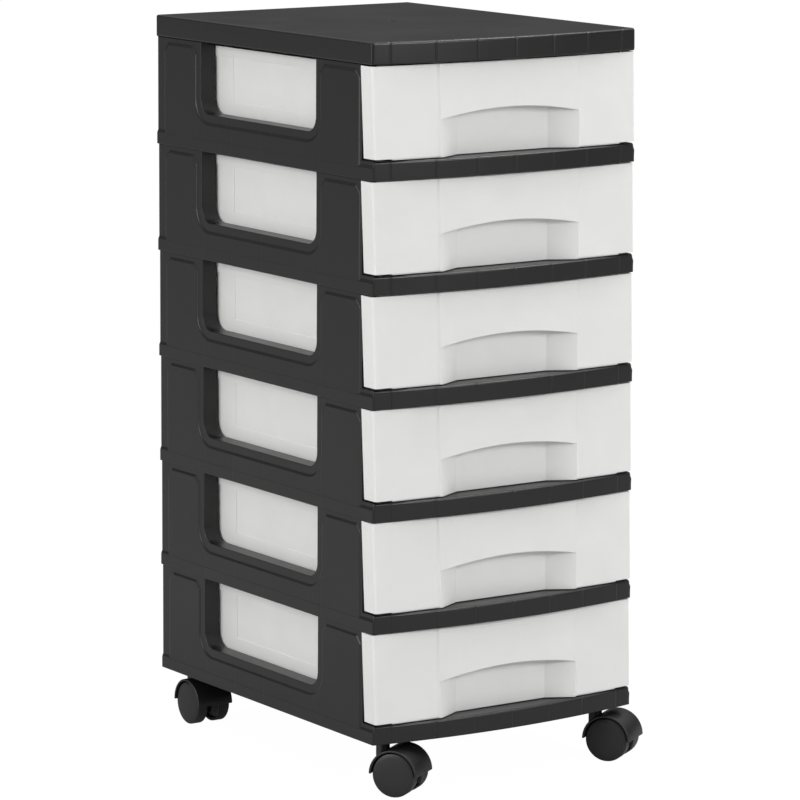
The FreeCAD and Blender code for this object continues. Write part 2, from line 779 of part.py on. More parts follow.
def place(source, label, x, y, z, turn=None):
    """Puts a copy of a body in the tower, as the sub-part that label names."""
    copy = doc.addObject("PartDesign::Body", label)
    copy.Label = label
    clone = copy.newObject("PartDesign::FeatureBase", label + "_clone")
    clone.BaseFeature = source
    copy.Tip = clone
    copy.Placement = FreeCAD.Placement(FreeCAD.Vector(), FreeCAD.Rotation(FreeCAD.Vector(0, 0, 1), 1))
    bind(copy, "Placement.Base.x", f"{x} - centre_x")
    bind(copy, "Placement.Base.y", f"{y} - centre_y")
    bind(copy, "Placement.Base.z", z)
    bind(copy, "Placement.Rotation.Angle", turn or "0")
    nodes.append(copy)


tier_frame = make_tier_frame()
base_frame = make_base_frame(tier_frame)
drawer = make_drawer()
for tier in range(int(value("tier_count"))):
    height = f"caster_height + {tier} * tier_pitch"
    place(tier_frame if tier else base_frame, f"tier_frame_{tier + 1}", "0", "0", height)
    place(drawer, f"drawer_{tier + 1}", "0", "0", height)
place(make_top_plate(), "top_plate", "0", "0", "caster_height + tier_count * tier_pitch")

stem, hood, wheel = make_stem(), make_hood(), make_wheel()
CORNERS = {
    "front_left": ("-caster_side", "caster_front_inset", "front_yaw"),
    "front_right": ("caster_side", "caster_front_inset", "front_yaw"),
    "rear_left": ("-caster_side", "caster_rear", "rear_yaw"),
    "rear_right": ("caster_side", "caster_rear", "rear_yaw"),
}
for corner, (x, y, yaw) in CORNERS.items():
    name = "caster_" + corner
    place(stem, name + "_stem", x, y, "0")
    place(hood, name + "_hood", x, y, "0", yaw)
    hub_x = f"{x} + caster_trail * sin({yaw})"
    hub_y = f"{y} - caster_trail * cos({yaw})"
    place(wheel, name + "_wheel_right", hub_x, hub_y, "wheel_radius", yaw)
    place(wheel, name + "_wheel_left", hub_x, hub_y, "wheel_radius", f"{yaw} + 180")

doc.recompute()
for thing in doc.Objects:
    if "Invalid" in thing.State or "Error" in thing.State:
        raise RuntimeError(f"{thing.Name} has failed: {thing.State}")
for node in nodes:
    if node.Shape.isNull() or not node.Shape.isValid() or len(node.Shape.Solids) != 1:
        raise RuntimeError(f"{node.Label} isn't one sound solid")

os.makedirs("parts", exist_ok=True)
for node in nodes:
    node.Shape.exportStep(f"parts/{node.Label}.step")
print(f"{len(nodes)} sub-parts written")
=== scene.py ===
"""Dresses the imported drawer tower: moulded black frames, milky drawers and hooded casters.

Lengths are in metres unless a name ends in _mm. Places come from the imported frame.
"""

import json
import logging
import math
from collections.abc import Callable
from dataclasses import dataclass
from enum import Enum

import bpy
from mathutils import Matrix, Vector

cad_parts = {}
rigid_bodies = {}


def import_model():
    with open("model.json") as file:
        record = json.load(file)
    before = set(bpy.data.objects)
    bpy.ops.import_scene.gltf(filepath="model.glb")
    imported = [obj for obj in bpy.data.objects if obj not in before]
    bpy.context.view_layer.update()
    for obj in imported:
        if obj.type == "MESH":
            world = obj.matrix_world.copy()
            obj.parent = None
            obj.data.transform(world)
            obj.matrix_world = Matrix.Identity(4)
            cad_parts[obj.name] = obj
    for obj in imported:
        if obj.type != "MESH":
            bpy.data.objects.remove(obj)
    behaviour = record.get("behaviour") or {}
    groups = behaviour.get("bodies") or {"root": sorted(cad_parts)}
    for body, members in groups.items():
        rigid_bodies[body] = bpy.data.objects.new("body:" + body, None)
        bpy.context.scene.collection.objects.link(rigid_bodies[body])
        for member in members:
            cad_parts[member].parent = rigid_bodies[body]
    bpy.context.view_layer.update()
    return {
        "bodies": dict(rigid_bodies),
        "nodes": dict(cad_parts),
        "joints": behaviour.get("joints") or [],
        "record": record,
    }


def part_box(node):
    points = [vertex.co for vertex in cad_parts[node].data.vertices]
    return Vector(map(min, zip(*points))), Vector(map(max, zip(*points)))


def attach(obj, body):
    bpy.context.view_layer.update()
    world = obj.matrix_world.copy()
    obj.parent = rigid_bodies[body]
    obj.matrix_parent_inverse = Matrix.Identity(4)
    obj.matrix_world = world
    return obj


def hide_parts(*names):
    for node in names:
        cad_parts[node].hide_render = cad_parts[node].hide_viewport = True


log = logging.getLogger("drawer_tower")

MM = 0.001
ROUND_SIDES = 96
COLLAR_SIDES = 64
ROD_SIDES = 48
TIER_DEPTH = 367 * MM
LIGHTS_LEVEL = 350 * MM
CORNERS = ("front_left", "front_right", "rear_left", "rear_right")


class Axis(Enum):
    """The row axis that a round piece is made about, as the turn of a new cylinder."""

    ACROSS = (0.0, math.pi / 2, 0.0)
    UP = (0.0, 0.0, 0.0)


def linear(hex_code: str) -> tuple[float, float, float, float]:
    """Turns an sRGB hex value into the linear colour that a shader takes.

    Args:
        hex_code: Six hex digits after a hash.

    Returns:
        Linear red, green, blue and an alpha of 1.
    """
    channels = [int(hex_code[place : place + 2], 16) / 255 for place in (1, 3, 5)]
    values = [c / 12.92 if c <= 0.04045 else ((c + 0.055) / 1.055) ** 2.4 for c in channels]
    return (*values, 1.0)


def add_node(tree: bpy.types.NodeTree, kind: str, settings: dict, links: dict) -> bpy.types.Node:
    """Adds one shader node.

    Args:
        tree: The node tree that gets it.
        kind: The node's type, such as ShaderNodeBump.
        settings: Values by property name, or by socket name or number.
        links: Output sockets by the name or number of the input socket they feed.

    Returns:
        The new node.
    """
    node = tree.nodes.new(kind)
    for name, setting in settings.items():
        if isinstance(name, int) or name in node.inputs:
            node.inputs[name].default_value = setting
        else:
            setattr(node, name, setting)
    for name, source in links.items():
        tree.links.new(source, node.inputs[name])
    return node


def only(piece: bpy.types.Object) -> None:
    """Makes a piece the only selected and active object."""
    bpy.ops.object.select_all(action="DESELECT")
    piece.select_set(True)
    bpy.context.view_layer.objects.active = piece


def finish_modifiers(piece: bpy.types.Object) -> None:
    """Applies every modifier of a piece, in order."""
    only(piece)
    for modifier in list(piece.modifiers):
        bpy.ops.object.modifier_apply(modifier=modifier.name)


def smooth(piece: bpy.types.Object, degrees: float = 35.0) -> None:
    """Shades a piece smooth, but for edges sharper than the given angle."""
    only(piece)
    bpy.ops.object.shade_smooth_by_angle(angle=math.radians(degrees))


def pick_faces(piece: bpy.types.Object, wanted: Callable[[bpy.types.MeshPolygon], bool]) -> None:
    """Selects in edit mode the faces that a test of a polygon accepts.

    Args:
        piece: A mesh object in object mode.
        wanted: A function from a polygon to a truth value.
    """
    only(piece)
    bpy.ops.object.mode_set(mode="EDIT")
    bpy.ops.mesh.select_mode(type="FACE")
    bpy.ops.mesh.select_all(action="DESELECT")
    bpy.ops.object.mode_set(mode="OBJECT")
    for face in piece.data.polygons:
        face.select = bool(wanted(face))
    bpy.ops.object.mode_set(mode="EDIT")


def add_round(
    name: str, radius: float, depth: float, centre: Vector, axis: Axis, sides: int = ROUND_SIDES
) -> bpy.types.Object:
    """Adds a cylinder, placed and turned, with its place in its mesh.

    Args:
        name: The new object's name.
        radius: Its radius.
        depth: Its length.
        centre: Its middle.
        axis: What it lies along.
        sides: Its number of sides.

    Returns:
        The new object.
    """
    bpy.ops.object.select_all(action="DESELECT")
    bpy.ops.mesh.primitive_cylinder_add(
        vertices=sides, radius=radius, depth=depth, location=centre, rotation=axis.value
    )
    piece = bpy.context.active_object
    piece.name = name
    bpy.ops.object.transform_apply(location=True, rotation=True, scale=True)
    return piece


def join(name: str, pieces: list[bpy.types.Object]) -> bpy.types.Object:
    """Joins separate meshes into one object."""
    only(pieces[0])
    for piece in pieces:
        piece.select_set(True)
    bpy.ops.object.join()
    pieces[0].name = name
    return pieces[0]


def dress(piece: bpy.types.Object, material: bpy.types.Material) -> None:
    """Gives a piece one material all over."""
    piece.data.materials.clear()
    piece.data.materials.append(material)


@dataclass(frozen=True)
class BlackPolypropylene:
    """Injection-moulded polypropylene, black and satin-glossy.

    The eye gets a deep grey-black, soft wide highlights that waver, and faint sink lines over the ribs.
    """

    colour: str = "#141415"
    roughness: float = 0.34
    roughness_swing: float = 0.07
    ior: float = 1.49
    waver_mm: float = 70.0
    waver_depth_mm: float = 0.09
    grain_mm: float = 0.9
    grain_depth_mm: float = 0.006
    sink_width_mm: float = 3.4
    front_sink_depth_mm: float = 0.3
    side_sink_depth_mm: float = 0.05
    front_sinks_mm: tuple[float, ...] = (-139.5, -123.5, -80.0, -38.5, 1.0, 42.0, 81.0, 123.5, 139.5)
    side_sinks_mm: tuple[float, ...] = (86.0, 185.5, 236.0, 287.0)

    def sink_lines(
        self,
        tree: bpy.types.NodeTree,
        along: bpy.types.NodeSocket,
        origin: float,
        places_mm: tuple[float, ...],
    ) -> bpy.types.NodeSocket:
        """A height that dips in a narrow line over each rib.

        Args:
            tree: The material's node tree.
            along: The coordinate that counts along the ribbed wall.
            origin: Where the places are counted from.
            places_mm: The ribs' places.

        Returns:
            A socket from 0, on a rib, to 1, clear of it.
        """
        nearest = None
        for place in places_mm:
            past = add_node(
                tree, "ShaderNodeMath", {"operation": "SUBTRACT", 1: origin + place * MM}, {0: along}
            )
            away = add_node(tree, "ShaderNodeMath", {"operation": "ABSOLUTE"}, {0: past.outputs[0]})
            if nearest is None:
                nearest = away.outputs[0]
            else:
                nearest = add_node(
                    tree, "ShaderNodeMath", {"operation": "MINIMUM"}, {0: away.outputs[0], 1: nearest}
                ).outputs[0]
        return add_node(
            tree, "ShaderNodeMapRange",
            {"interpolation_type": "SMOOTHSTEP", "From Max": self.sink_width_mm * MM / 2}, {0: nearest},
        ).outputs[0]

    def material(self, centre: Vector, corner: Vector) -> bpy.types.Material:
        """Makes the material.

        Args:
            centre: A point on the tower's middle plane, from which the front's ribs are counted.
            corner: A point on the front corners' line, from which the sides' ribs are counted.

        Returns:
            The new material.
        """
        material = bpy.data.materials.new("black_polypropylene")
        material.use_nodes = True
        tree = material.node_tree
        shader = tree.nodes["Principled BSDF"]
        shader.inputs["Base Color"].default_value = linear(self.colour)
        shader.inputs["IOR"].default_value = self.ior
        place = add_node(tree, "ShaderNodeTexCoord", {}, {}).outputs["Object"]
        waver = add_node(
            tree, "ShaderNodeTexNoise", {"Scale": 1 / (self.waver_mm * MM), "Detail": 2.0}, {"Vector": place}
        )
        grain = add_node(
            tree, "ShaderNodeTexNoise", {"Scale": 1 / (self.grain_mm * MM), "Detail": 3.0}, {"Vector": place}
        )
        low, high = self.roughness - self.roughness_swing, self.roughness + self.roughness_swing
        gloss = add_node(
            tree, "ShaderNodeMapRange", {"To Min": low, "To Max": high}, {0: waver.outputs[0]}
        )
        tree.links.new(gloss.outputs[0], shader.inputs["Roughness"])
        split = add_node(tree, "ShaderNodeSeparateXYZ", {}, {0: place})
        facing = add_node(
            tree, "ShaderNodeSeparateXYZ", {},
            {0: add_node(tree, "ShaderNodeNewGeometry", {}, {}).outputs["True Normal"]},
        )
        height = waver.outputs[0]
        for along, away, origin, places_mm, depth_mm in (
            ("X", "Y", centre.x, self.front_sinks_mm, self.front_sink_depth_mm),
            ("Y", "X", corner.y, self.side_sinks_mm, self.side_sink_depth_mm),
        ):
            line = self.sink_lines(tree, split.outputs[along], origin, places_mm)
            faced = add_node(tree, "ShaderNodeMath", {"operation": "ABSOLUTE"}, {0: facing.outputs[away]})
            sunk = add_node(tree, "ShaderNodeMath", {"operation": "SUBTRACT", 0: 1.0}, {1: line})
            depth = add_node(
                tree, "ShaderNodeMath", {"operation": "MULTIPLY"}, {0: sunk.outputs[0], 1: faced.outputs[0]}
            )
            part = add_node(
                tree, "ShaderNodeMath",
                {"operation": "MULTIPLY", 1: depth_mm / self.waver_depth_mm}, {0: depth.outputs[0]},
            )
            height = add_node(
                tree, "ShaderNodeMath", {"operation": "SUBTRACT"}, {0: height, 1: part.outputs[0]}
            ).outputs[0]
        wavy = add_node(
            tree, "ShaderNodeBump",
            {"Strength": 1.0, "Distance": self.waver_depth_mm * MM}, {"Height": height},
        )
        rough = add_node(
            tree, "ShaderNodeBump", {"Strength": 1.0, "Distance": self.grain_depth_mm * MM},
            {"Height": grain.outputs[0], "Normal": wavy.outputs[0]},
        )
        tree.links.new(rough.outputs[0], shader.inputs["Normal"])
        return material


@dataclass(frozen=True)
class NaturalPolypropylene:
    """Injection-moulded natural polypropylene, about 2 mm thick and uncoloured.

    The eye gets a milky white that lets light through, a soft gloss, and slow flow marks.
    """

    colour: str = "#f6f6f4"
    shade: str = "#eeeeec"
    roughness: float = 0.3
    ior: float = 1.49
    transmission: float = 0.08
    scatter: float = 0.4
    scatter_mm: float = 1.5
    scatter_by_colour: tuple[float, float, float] = (1.0, 0.95, 0.9)
    flow_mm: float = 45.0
    flow_depth_mm: float = 0.08

    def material(self) -> bpy.types.Material:
        """Makes the material."""
        material = bpy.data.materials.new("natural_polypropylene")
        material.use_nodes = True
        tree = material.node_tree
        shader = tree.nodes["Principled BSDF"]
        shader.inputs["Roughness"].default_value = self.roughness
        shader.inputs["IOR"].default_value = self.ior
        shader.inputs["Transmission Weight"].default_value = self.transmission
        shader.inputs["Subsurface Weight"].default_value = self.scatter
        shader.inputs["Subsurface Radius"].default_value = self.scatter_by_colour
        shader.inputs["Subsurface Scale"].default_value = self.scatter_mm * MM
        place = add_node(tree, "ShaderNodeTexCoord", {}, {}).outputs["Object"]
        flow = add_node(
            tree, "ShaderNodeTexNoise",
            {"Scale": 1 / (self.flow_mm * MM), "Detail": 2.0, "Distortion": 0.6}, {"Vector": place},
        )
        tint = add_node(
            tree, "ShaderNodeMix",
            {"data_type": "RGBA", 6: linear(self.colour), 7: linear(self.shade)}, {0: flow.outputs[0]},
        )
        tree.links.new(tint.outputs[2], shader.inputs["Base Color"])
        bump = add_node(
            tree, "ShaderNodeBump", {"Strength": 1.0, "Distance": self.flow_depth_mm * MM},
            {"Height": flow.outputs[0]},
        )
        tree.links.new(bump.outputs[0], shader.inputs["Normal"])
        return material


@dataclass(frozen=True)
class BlackNylon:
    """Moulded black nylon, a little matter than the frames.

    The eye gets a dark grey with a dull broad sheen and a fine spark-eroded grain.
    """

    colour: str = "#161617"
    roughness: float = 0.42
    roughness_swing: float = 0.06
    ior: float = 1.53
    grain_mm: float = 0.7
    grain_depth_mm: float = 0.02

    def material(self) -> bpy.types.Material:
        """Makes the material."""
        material = bpy.data.materials.new("black_nylon")
        material.use_nodes = True
        tree = material.node_tree
        shader = tree.nodes["Principled BSDF"]
        shader.inputs["Base Color"].default_value = linear(self.colour)
        shader.inputs["IOR"].default_value = self.ior
        place = add_node(tree, "ShaderNodeTexCoord", {}, {}).outputs["Object"]
        grain = add_node(
            tree, "ShaderNodeTexNoise", {"Scale": 1 / (self.grain_mm * MM), "Detail": 3.0}, {"Vector": place}
        )
        low, high = self.roughness - self.roughness_swing, self.roughness + self.roughness_swing
        gloss = add_node(
            tree, "ShaderNodeMapRange", {"To Min": low, "To Max": high}, {0: grain.outputs[0]}
        )
        tree.links.new(gloss.outputs[0], shader.inputs["Roughness"])
        bump = add_node(
            tree, "ShaderNodeBump", {"Strength": 1.0, "Distance": self.grain_depth_mm * MM},
            {"Height": grain.outputs[0]},
        )
        tree.links.new(bump.outputs[0], shader.inputs["Normal"])
        return material


@dataclass(frozen=True)
class ZincPlatedSteel:
    """Turned steel rod, bright zinc-plated.

    The eye gets a pale grey metal with fine rings from the lathe.
    """

    colour: str = "#b9bbbd"
    smoothest: float = 0.25
    roughest: float = 0.4
    ring_mm: float = 0.6
    waves_per_unit: float = 20.0
    ring_depth_mm: float = 0.01

    def material(self) -> bpy.types.Material:
        """Makes the material."""
        material = bpy.data.materials.new("zinc_plated_steel")
        material.use_nodes = True
        tree = material.node_tree
        shader = tree.nodes["Principled BSDF"]
        shader.inputs["Base Color"].default_value = linear(self.colour)
        shader.inputs["Metallic"].default_value = 1.0
        place = add_node(tree, "ShaderNodeTexCoord", {}, {}).outputs["Object"]
        rings = add_node(
            tree, "ShaderNodeTexWave",
            {
                "bands_direction": "Z",
                "Scale": 1 / (self.ring_mm * MM * self.waves_per_unit),
                "Distortion": 0.4,
            },
            {"Vector": place},
        )
        gloss = add_node(
            tree, "ShaderNodeMapRange",
            {"To Min": self.smoothest, "To Max": self.roughest}, {0: rings.outputs[1]},
        )
        tree.links.new(gloss.outputs[0], shader.inputs["Roughness"])
        bump = add_node(
            tree, "ShaderNodeBump", {"Strength": 1.0, "Distance": self.ring_depth_mm * MM},
            {"Height": rings.outputs[1]},
        )
        tree.links.new(bump.outputs[0], shader.inputs["Normal"])
        return material


@dataclass
class Moulding:
    """A moulded piece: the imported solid's form, its edges rounded as a mould leaves them."""

    frame: dict
    node: str
    body: str
    slot: str
    edge_round: float = 0.5 * MM
    edge_share: float = 0.42
    edge_segments: int = 3
    sharp_degrees: float = 20.0
    merge_distance: float = 0.002 * MM
    flat_degrees: float = 0.03

    def weigh_edges(self, mesh: bpy.types.Mesh) -> None:
        """Gives each sharp edge the rounding that the faces beside it have room for.

        Args:
            mesh: The merged mesh.
        """
        beside: dict[tuple[int, int], list[bpy.types.MeshPolygon]] = {}
        for face in mesh.polygons:
            for key in face.edge_keys:
                beside.setdefault(key, []).append(face)
        weights = []
        sharp = math.radians(self.sharp_degrees)
        for edge in mesh.edges:
            faces = beside.get(edge.key, [])
            room = 0.0
            if len(faces) == 2 and faces[0].normal.angle(faces[1].normal) > sharp:
                start, end = (mesh.vertices[corner].co for corner in edge.vertices)
                along = (end - start).normalized()
                room = self.edge_round
                for face in faces:
                    across = along.cross(face.normal)
                    reach = [(mesh.vertices[corner].co - start).dot(across) for corner in face.vertices]
                    room = min(room, (max(reach) - min(reach)) * self.edge_share)
            weights.append(room / self.edge_round)
        layer = mesh.attributes.new("bevel_weight_edge", "FLOAT", "EDGE")
        layer.data.foreach_set("value", weights)

    def rounded(self) -> bpy.types.Object:
        """Copies the node's mesh, merges it and rounds its edges.

        Returns:
            The piece, at the origin, with its place in its mesh.
        """
        source = self.frame["nodes"][self.node]
        piece = bpy.data.objects.new(self.node + "_moulding", source.data.copy())
        bpy.context.scene.collection.objects.link(piece)
        only(piece)
        bpy.ops.object.mode_set(mode="EDIT")
        bpy.ops.mesh.select_all(action="SELECT")
        bpy.ops.mesh.remove_doubles(threshold=self.merge_distance)
        bpy.ops.mesh.dissolve_limited(angle_limit=math.radians(self.flat_degrees))
        bpy.ops.object.mode_set(mode="OBJECT")
        self.weigh_edges(piece.data)
        bevel = piece.modifiers.new("Edges", "BEVEL")
        bevel.width = self.edge_round
        bevel.segments = self.edge_segments
        bevel.limit_method = "WEIGHT"
        bevel.use_clamp_overlap = False
        finish_modifiers(piece)
        smooth(piece)
        level = piece.modifiers.new("Level faces", "WEIGHTED_NORMAL")
        level.keep_sharp = True
        finish_modifiers(piece)
        return piece

    def settle(self, piece: bpy.types.Object, material: bpy.types.Material) -> bpy.types.Object:
        """Dresses the piece, sets it on its body and lets it stand for its node."""
        dress(piece, material)
        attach(piece, self.body)
        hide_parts(self.node)
        log.info("%s: %d faces", piece.name, len(piece.data.polygons))
        return piece

    def copy_for(self, piece: bpy.types.Object, node: str, body: str) -> "tuple[Moulding, bpy.types.Object]":
        """Copies a finished moulding to where another node of the same form lies.

        Args:
            piece: The finished moulding.
            node: The other node.
            body: The body that it rides on.

        Returns:
            The other moulding and its piece.
        """
        other = Moulding(self.frame, node, body, self.slot, self.edge_round)
        copy = bpy.data.objects.new(node + "_moulding", piece.data.copy())
        bpy.context.scene.collection.objects.link(copy)
        copy.data.transform(Matrix.Translation(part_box(node)[0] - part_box(self.node)[0]))
        return other, copy


@dataclass
class Tower:
    """The stacked frames, the top plate and the drawers."""

    frame: dict
    tiers: int = 6
    top_round: float = 1.8 * MM
    frame_round: float = 0.7 * MM
    drawer_round: float = 0.2 * MM

    def build(self, black: bpy.types.Material, clear: bpy.types.Material) -> None:
        """Makes every moulding of the tower.

        Args:
            black: The frames' material.
            clear: The drawers' material.
        """
        for node, edge_round in (("tier_frame_1", self.frame_round), ("top_plate", self.top_round)):
            moulding = Moulding(self.frame, node, "tower", "frame_plastic", edge_round)
            moulding.settle(moulding.rounded(), black)
        self.repeat("tier_frame_{}", 2, lambda name: "tower", "frame_plastic", black, self.frame_round)
        self.repeat("drawer_{}", 1, lambda name: name, "drawer_plastic", clear, self.drawer_round)

    def repeat(
        self,
        pattern: str,
        first: int,
        body_of: Callable[[str], str],
        slot: str,
        material: bpy.types.Material,
        edge_round: float,
    ) -> None:
        """Makes one moulding and copies it to the tiers above.

        Args:
            pattern: The node's name, with a place for the tier's number.
            first: The lowest tier that has it.
            body_of: A function from a node's name to its body's.
            slot: The record's material slot.
            material: The finish.
            edge_round: How far its edges are rounded.
        """
        lowest = pattern.format(first)
        model = Moulding(self.frame, lowest, body_of(lowest), slot, edge_round)
        piece = model.rounded()
        for tier in range(first + 1, self.tiers + 1):
            name = pattern.format(tier)
            other, copy = model.copy_for(piece, name, body_of(name))
            other.settle(copy, material)
        model.settle(piece, material)


@dataclass
class Casters:
    """The hooded twin-wheel casters: one is made about its stem, and copied to each corner."""

    frame: dict
    trail: float = 17 * MM
    wheel_radius: float = 20 * MM
    wheel_inner: float = 6.5 * MM
    wheel_outer: float = 18 * MM
    wheel_round: float = 2.4 * MM
    dome_steps_mm: tuple[tuple[float, float], ...] = ((4.5, 0.5), (5.0, 0.34), (5.0, 0.14))
    hub_radius: float = 6 * MM
    back_recess: float = 4 * MM
    back_slope: float = 0.8 * MM
    hub_slope: float = 0.4 * MM
    hood_radius: float = 23 * MM
    hood_skin: float = 2 * MM
    hood_half: float = 18.5 * MM
    web_half: float = 3.5 * MM
    web_drop: float = 8 * MM
    neck_radius: float = 6.2 * MM
    neck_foot: float = 21.5 * MM
    neck_head: float = 48.5 * MM
    axle_radius: float = 2.5 * MM
    axle_half: float = 15 * MM
    stem_radius: float = 4 * MM
    stem_foot: float = 25 * MM
    stem_head: float = 62 * MM
    washer_radius: float = 7.5 * MM
    washer_skin: float = 0.4 * MM
    washer_gap: float = 0.05 * MM
    edge_round: float = 0.7 * MM
    sharp_degrees: float = 40.0

    def soften(self, piece: bpy.types.Object, width: float, segments: int = 3) -> None:
        """Rounds a piece's sharp edges."""
        bevel = piece.modifiers.new("Edges", "BEVEL")
        bevel.width = width
        bevel.segments = segments
        bevel.limit_method = "ANGLE"
        bevel.angle_limit = math.radians(self.sharp_degrees)
        finish_modifiers(piece)

    def half_round(self, name: str, radius: float, half: float, floor: float) -> bpy.types.Object:
        """A cylinder about the axle, cut off below a level.

        Args:
            name: The new object's name.
            radius: The cylinder's radius.
            half: Half its length.
            floor: The level below which it is cut away.

        Returns:
            The new object.
        """
        centre = Vector((0, -self.trail, self.wheel_radius))
        piece = add_round(name, radius, 2 * half, centre, Axis.ACROSS)
        only(piece)
        bpy.ops.object.mode_set(mode="EDIT")
        bpy.ops.mesh.select_all(action="SELECT")
        bpy.ops.mesh.bisect(
            plane_co=(0, 0, floor), plane_no=(0, 0, 1), clear_inner=True, use_fill=True, threshold=0.01 * MM
        )
        bpy.ops.object.mode_set(mode="OBJECT")
        return piece

    def hood(self) -> bpy.types.Object:
        """The fender with its web, neck and axle."""
        fender = self.half_round("fender", self.hood_radius, self.hood_half, self.wheel_radius)
        pick_faces(fender, lambda face: abs(face.normal.x) > 0.9 or face.normal.z < -0.9)
        bpy.ops.mesh.delete(type="ONLY_FACE")
        bpy.ops.object.mode_set(mode="OBJECT")
        wall = fender.modifiers.new("Wall", "SOLIDIFY")
        wall.thickness = self.hood_skin
        wall.offset = -1
        wall.use_even_offset = True
        finish_modifiers(fender)
        self.soften(fender, self.edge_round)
        web = self.half_round(
            "web", self.hood_radius - self.hood_skin / 2, self.web_half, self.wheel_radius - self.web_drop
        )
        self.soften(web, self.edge_round)
        height = self.neck_head - self.neck_foot
        middle = Vector((0, 0, self.neck_foot + height / 2))
        neck = add_round("neck", self.neck_radius, height, middle, Axis.UP, COLLAR_SIDES)
        self.soften(neck, self.edge_round)
        centre = Vector((0, -self.trail, self.wheel_radius))
        axle = add_round("axle", self.axle_radius, 2 * self.axle_half, centre, Axis.ACROSS, ROD_SIDES)
        return join("hood_model", [fender, web, neck, axle])

    def wheel(self, side: str) -> bpy.types.Object:
        """A wheel with a rounded rim, a domed face and a hollow back.

        Args:
            side: left or right.

        Returns:
            The new object.
        """
        out = -1 if side == "left" else 1
        rise = sum(step for _, step in self.dome_steps_mm) * MM
        width = self.wheel_outer - rise - self.wheel_inner
        middle = Vector((out * (self.wheel_inner + width / 2), -self.trail, self.wheel_radius))
        piece = add_round(f"wheel_{side}_model", self.wheel_radius, width, middle, Axis.ACROSS)
        pick_faces(piece, lambda face: face.normal.x * out > 0.9)
        for inset_mm, step_mm in self.dome_steps_mm:
            bpy.ops.mesh.inset(thickness=inset_mm * MM, depth=step_mm * MM)
        bpy.ops.object.mode_set(mode="OBJECT")
        pick_faces(piece, lambda face: face.normal.x * out < -0.9)
        bpy.ops.mesh.inset(thickness=self.wheel_round)
        bpy.ops.mesh.inset(thickness=self.back_slope, depth=-self.back_recess)
        floor = self.wheel_radius - self.wheel_round - self.back_slope - self.hub_radius
        bpy.ops.mesh.inset(thickness=floor)
        bpy.ops.mesh.inset(thickness=self.hub_slope, depth=self.back_recess)
        bpy.ops.object.mode_set(mode="OBJECT")
        self.soften(piece, self.wheel_round)
        return piece

    def stem(self) -> bpy.types.Object:
        """The steel stem and the washer under the tower."""
        height = self.stem_head - self.stem_foot
        middle = Vector((0, 0, self.stem_foot + height / 2))
        rod = add_round("rod", self.stem_radius, height, middle, Axis.UP, ROD_SIDES)
        self.soften(rod, self.edge_round)
        level = Vector((0, 0, self.neck_head + self.washer_gap + self.washer_skin / 2))
        washer = add_round(
            "washer", self.washer_radius, self.washer_skin, level, Axis.UP, COLLAR_SIDES
        )
        return join("stem_model", [rod, washer])

    def place(self, corner: str) -> Matrix:
        """Finds where a caster stands and how it is turned, from its joints.

        Args:
            corner: The corner's name.

        Returns:
            The turn and shift from the model about its stem.
        """
        joints = {joint["name"]: joint for joint in self.frame["joints"]}
        stem = Vector(joints[f"caster_{corner}_swivel_turn"]["pos_m"])
        axle = joints[f"caster_{corner}_wheel_left_roll"]["axis"]
        turn = Matrix.Rotation(math.atan2(axle[1], axle[0]), 4, "Z")
        return Matrix.Translation((stem.x, stem.y, 0)) @ turn

    def build(self, nylon: bpy.types.Material, steel: bpy.types.Material) -> None:
        """Models each piece once and sets a copy of it at each corner.

        Args:
            nylon: The hood's and wheels' material.
            steel: The stem's material.
        """
        models = [
            (self.hood(), "hood", "hood_plastic", nylon),
            (self.stem(), "stem", "stem_steel", steel),
            (self.wheel("left"), "wheel_left", "wheel_plastic", nylon),
            (self.wheel("right"), "wheel_right", "wheel_plastic", nylon),
        ]
        for model, kind, slot, material in models:
            smooth(model)
            dress(model, material)
            for corner in CORNERS:
                node = f"caster_{corner}_{kind}"
                bodies = {"hood": f"caster_{corner}_swivel", "stem": "tower"}
                piece = bpy.data.objects.new(node + "_moulding", model.data.copy())
                bpy.context.scene.collection.objects.link(piece)
                piece.data.transform(self.place(corner))
                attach(piece, bodies.get(kind, node))
                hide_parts(node)
                log.info("%s: %d faces", piece.name, len(piece.data.polygons))
            bpy.data.objects.remove(model)


